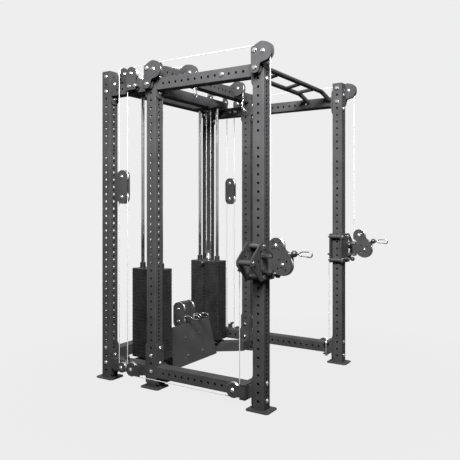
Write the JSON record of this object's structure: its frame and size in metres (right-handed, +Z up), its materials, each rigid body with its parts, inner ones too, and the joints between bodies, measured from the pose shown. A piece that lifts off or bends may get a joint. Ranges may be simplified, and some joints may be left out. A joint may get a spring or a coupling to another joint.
{
  "type": "power cage with cable trolleys",
  "caption": "Six-post power cage with two weight stacks, sliding cable trolleys, lat arms, low row and pull-up bars.",
  "frame": {"origin": "middle of the footprint, on the floor", "axes": "+X to the right seen from the front, +Y from the front to the rear, +Z up"},
  "size_m": [1.566, 1.629, 2.1592],
  "materials": {
    "frame_black": "matte charcoal powder coat",
    "bar_black": "matte black powder coat",
    "bracket_black": "satin black powder coat",
    "zinc": "bright zinc plate",
    "rod_chrome": "ground and chromed",
    "hook_chrome": "polished",
    "stack_black": "satin black",
    "rubber": "moulded",
    "pulley": "turned",
    "cable": "plastic-coated steel cable"
  },
  "bodies": {
    "root": {"uprights_front": "frame_black", "uprights_mid": "frame_black", "uprights_rear": "frame_black", "foot_plates": "frame_black", "side_beams_upper": "frame_black", "side_beams_lower": "frame_black", "rear_bay_beams": "frame_black", "crossmembers": "frame_black", "stack_top_beam": "frame_black", "stack_base_member": "frame_black", "beam_flanges": "frame_black", "frame_bolts": "zinc", "pull_up_bar": "bar_black", "top_pulley_brackets": "bracket_black", "rear_pulley_brackets": "bracket_black", "floor_pulley_brackets": "bracket_black", "lat_arms": "bracket_black", "low_row_tower": "bracket_black", "low_row_foot_plate": "bracket_black", "guide_rods": "rod_chrome", "stack_bumpers": "rubber", "weight_plates": "stack_black", "fixed_cables": "cable", "moving_cables": "cable", "corner_pulleys": "pulley", "lat_pulleys": "pulley"},
    "trolley_right": {"trolley_right": "bracket_black"},
    "lock_pin_right": {"lock_pin_right": "zinc"},
    "pulley_head_right": {"pulley_head_right": "bracket_black"},
    "head_upper_pulley_right": {"head_upper_pulley_right": "pulley"},
    "head_lower_pulley_right": {"head_lower_pulley_right": "pulley"},
    "cable_end_right": {"cable_end_right": "hook_chrome"},
    "float_block_right": {"float_block_right": "bracket_black"},
    "float_upper_pulley_right": {"float_upper_pulley_right": "pulley"},
    "float_lower_pulley_right": {"float_lower_pulley_right": "pulley"},
    "stack_head_right": {"stack_head_right": "rod_chrome"},
    "selector_pin_right": {"selector_pin_right": "zinc"},
    "lat_hook_right": {"lat_hook_right": "hook_chrome"},
    "row_hook_right": {"row_hook_right": "hook_chrome"},
    "trolley_left": {"trolley_left": "bracket_black"},
    "lock_pin_left": {"lock_pin_left": "zinc"},
    "pulley_head_left": {"pulley_head_left": "bracket_black"},
    "head_upper_pulley_left": {"head_upper_pulley_left": "pulley"},
    "head_lower_pulley_left": {"head_lower_pulley_left": "pulley"},
    "cable_end_left": {"cable_end_left": "hook_chrome"},
    "float_block_left": {"float_block_left": "bracket_black"},
    "float_upper_pulley_left": {"float_upper_pulley_left": "pulley"},
    "float_lower_pulley_left": {"float_lower_pulley_left": "pulley"},
    "stack_head_left": {"stack_head_left": "rod_chrome"},
    "selector_pin_left": {"selector_pin_left": "zinc"},
    "lat_hook_left": {"lat_hook_left": "hook_chrome"},
    "row_hook_left": {"row_hook_left": "hook_chrome"},
    "front_top_pulleys": {"front_top_pulleys": "pulley"},
    "mid_top_pulleys": {"mid_top_pulleys": "pulley"},
    "rear_top_pulleys": {"rear_top_pulleys": "pulley"},
    "front_floor_pulleys": {"front_floor_pulleys": "pulley"},
    "rear_floor_pulleys": {"rear_floor_pulleys": "pulley"},
    "cable_end_pulleys": {"cable_end_pulleys": "pulley"},
    "low_row_upper_pulleys": {"low_row_upper_pulleys": "pulley"},
    "low_row_lower_pulleys": {"low_row_lower_pulleys": "pulley"}
  },
  "joints": [
    {"name": "trolley_slide_right", "type": "slide", "parent": "root", "child": "trolley_right", "axis": [0, 0, 1], "range_m": [-0.5, 0.8], "deforming": ["moving_cables"]},
    {"name": "lock_pin_right", "type": "slide", "parent": "trolley_right", "child": "lock_pin_right", "axis": [0, 1, 0], "range_m": [0, 0.018]},
    {"name": "head_swivel_right", "type": "hinge", "parent": "trolley_right", "child": "pulley_head_right", "pos_m": [0.652, -0.5565, 0.855], "axis": [0, 0, 1], "range_deg": [-45, 90]},
    {"name": "head_upper_spin_right", "type": "hinge", "parent": "pulley_head_right", "child": "head_upper_pulley_right", "pos_m": [0.652, -0.5975, 0.956], "axis": [1, 0, 0], "continuous": true},
    {"name": "head_lower_spin_right", "type": "hinge", "parent": "pulley_head_right", "child": "head_lower_pulley_right", "pos_m": [0.652, -0.6395, 0.851], "axis": [1, 0, 0], "continuous": true},
    {"name": "stack_lift_right", "type": "slide", "parent": "root", "child": "stack_head_right", "axis": [0, 0, 1], "range_m": [0, 1]},
    {"name": "cable_pull_right", "type": "slide", "parent": "pulley_head_right", "child": "cable_end_right", "axis": [0, -1, 0], "range_m": [0, 1]},
    {"name": "selector_right", "type": "slide", "parent": "stack_head_right", "child": "selector_pin_right", "axis": [-1, 0, 0], "range_m": [0, 0.07]},
    {"name": "float_slide_right", "type": "slide", "parent": "root", "child": "float_block_right", "axis": [0, 0, 1], "range_m": [-0.4, 0.25]},
    {"name": "float_upper_spin_right", "type": "hinge", "parent": "float_block_right", "child": "float_upper_pulley_right", "pos_m": [0.652, 0.5535, 1.369], "axis": [1, 0, 0], "continuous": true},
    {"name": "float_lower_spin_right", "type": "hinge", "parent": "float_block_right", "child": "float_lower_pulley_right", "pos_m": [0.652, 0.5535, 1.235], "axis": [1, 0, 0], "continuous": true},
    {"name": "lat_pull_right", "type": "slide", "parent": "root", "child": "lat_hook_right", "axis": [0, 0, -1], "range_m": [0, 1.2]},
    {"name": "row_pull_right", "type": "slide", "parent": "root", "child": "row_hook_right", "axis": [0, -1, 0], "range_m": [0, 0.9]},
    {"name": "trolley_slide_left", "type": "slide", "parent": "root", "child": "trolley_left", "axis": [0, 0, 1], "range_m": [-0.5, 0.8]},
    {"name": "lock_pin_left", "type": "slide", "parent": "trolley_left", "child": "lock_pin_left", "axis": [0, 1, 0], "range_m": [0, 0.018]},
    {"name": "head_swivel_left", "type": "hinge", "parent": "trolley_left", "child": "pulley_head_left", "pos_m": [-0.652, -0.5565, 0.855], "axis": [0, 0, 1], "range_deg": [-90, 45]},
    {"name": "head_upper_spin_left", "type": "hinge", "parent": "pulley_head_left", "child": "head_upper_pulley_left", "pos_m": [-0.652, -0.5975, 0.956], "axis": [1, 0, 0], "continuous": true},
    {"name": "head_lower_spin_left", "type": "hinge", "parent": "pulley_head_left", "child": "head_lower_pulley_left", "pos_m": [-0.652, -0.6395, 0.851], "axis": [1, 0, 0], "continuous": true},
    {"name": "stack_lift_left", "type": "slide", "parent": "root", "child": "stack_head_left", "axis": [0, 0, 1], "range_m": [0, 1]},
    {"name": "cable_pull_left", "type": "slide", "parent": "pulley_head_left", "child": "cable_end_left", "axis": [0, -1, 0], "range_m": [0, 1]},
    {"name": "selector_left", "type": "slide", "parent": "stack_head_left", "child": "selector_pin_left", "axis": [1, 0, 0], "range_m": [0, 0.07]},
    {"name": "float_slide_left", "type": "slide", "parent": "root", "child": "float_block_left", "axis": [0, 0, 1], "range_m": [-0.4, 0.25]},
    {"name": "float_upper_spin_left", "type": "hinge", "parent": "float_block_left", "child": "float_upper_pulley_left", "pos_m": [-0.652, 0.5535, 1.369], "axis": [1, 0, 0], "continuous": true},
    {"name": "float_lower_spin_left", "type": "hinge", "parent": "float_block_left", "child": "float_lower_pulley_left", "pos_m": [-0.652, 0.5535, 1.235], "axis": [1, 0, 0], "continuous": true},
    {"name": "lat_pull_left", "type": "slide", "parent": "root", "child": "lat_hook_left", "axis": [0, 0, -1], "range_m": [0, 1.2]},
    {"name": "row_pull_left", "type": "slide", "parent": "root", "child": "row_hook_left", "axis": [0, -1, 0], "range_m": [0, 0.9]},
    {"name": "front_top_pulleys_spin", "type": "hinge", "parent": "root", "child": "front_top_pulleys", "pos_m": [0, -0.5155, 2.047], "axis": [1, 0, 0], "continuous": true},
    {"name": "mid_top_pulleys_spin", "type": "hinge", "parent": "root", "child": "mid_top_pulleys", "pos_m": [0, 0.2845, 2.047], "axis": [1, 0, 0], "continuous": true},
    {"name": "rear_top_pulleys_spin", "type": "hinge", "parent": "root", "child": "rear_top_pulleys", "pos_m": [0, 0.4755, 2.041], "axis": [1, 0, 0], "continuous": true},
    {"name": "front_floor_pulleys_spin", "type": "hinge", "parent": "root", "child": "front_floor_pulleys", "pos_m": [0, -0.3125, 0.108], "axis": [1, 0, 0], "continuous": true},
    {"name": "rear_floor_pulleys_spin", "type": "hinge", "parent": "root", "child": "rear_floor_pulleys", "pos_m": [0, 0.4755, 0.108], "axis": [1, 0, 0], "continuous": true},
    {"name": "cable_end_pulleys_spin", "type": "hinge", "parent": "root", "child": "cable_end_pulleys", "pos_m": [0, 0.5605, 0.108], "axis": [1, 0, 0], "continuous": true},
    {"name": "low_row_upper_pulleys_spin", "type": "hinge", "parent": "root", "child": "low_row_upper_pulleys", "pos_m": [0, 0.5475, 0.405], "axis": [1, 0, 0], "continuous": true},
    {"name": "low_row_lower_pulleys_spin", "type": "hinge", "parent": "root", "child": "low_row_lower_pulleys", "pos_m": [0, 0.5475, 0.312], "axis": [1, 0, 0], "continuous": true}
  ],
  "couplings": [
    {"joint": "cable_pull_right", "follows": "stack_lift_right", "ratio": 1},
    {"joint": "float_slide_right", "follows": "trolley_slide_right", "ratio": -0.5},
    {"joint": "cable_pull_left", "follows": "stack_lift_left", "ratio": 1},
    {"joint": "float_slide_left", "follows": "trolley_slide_left", "ratio": -0.5}
  ]
}
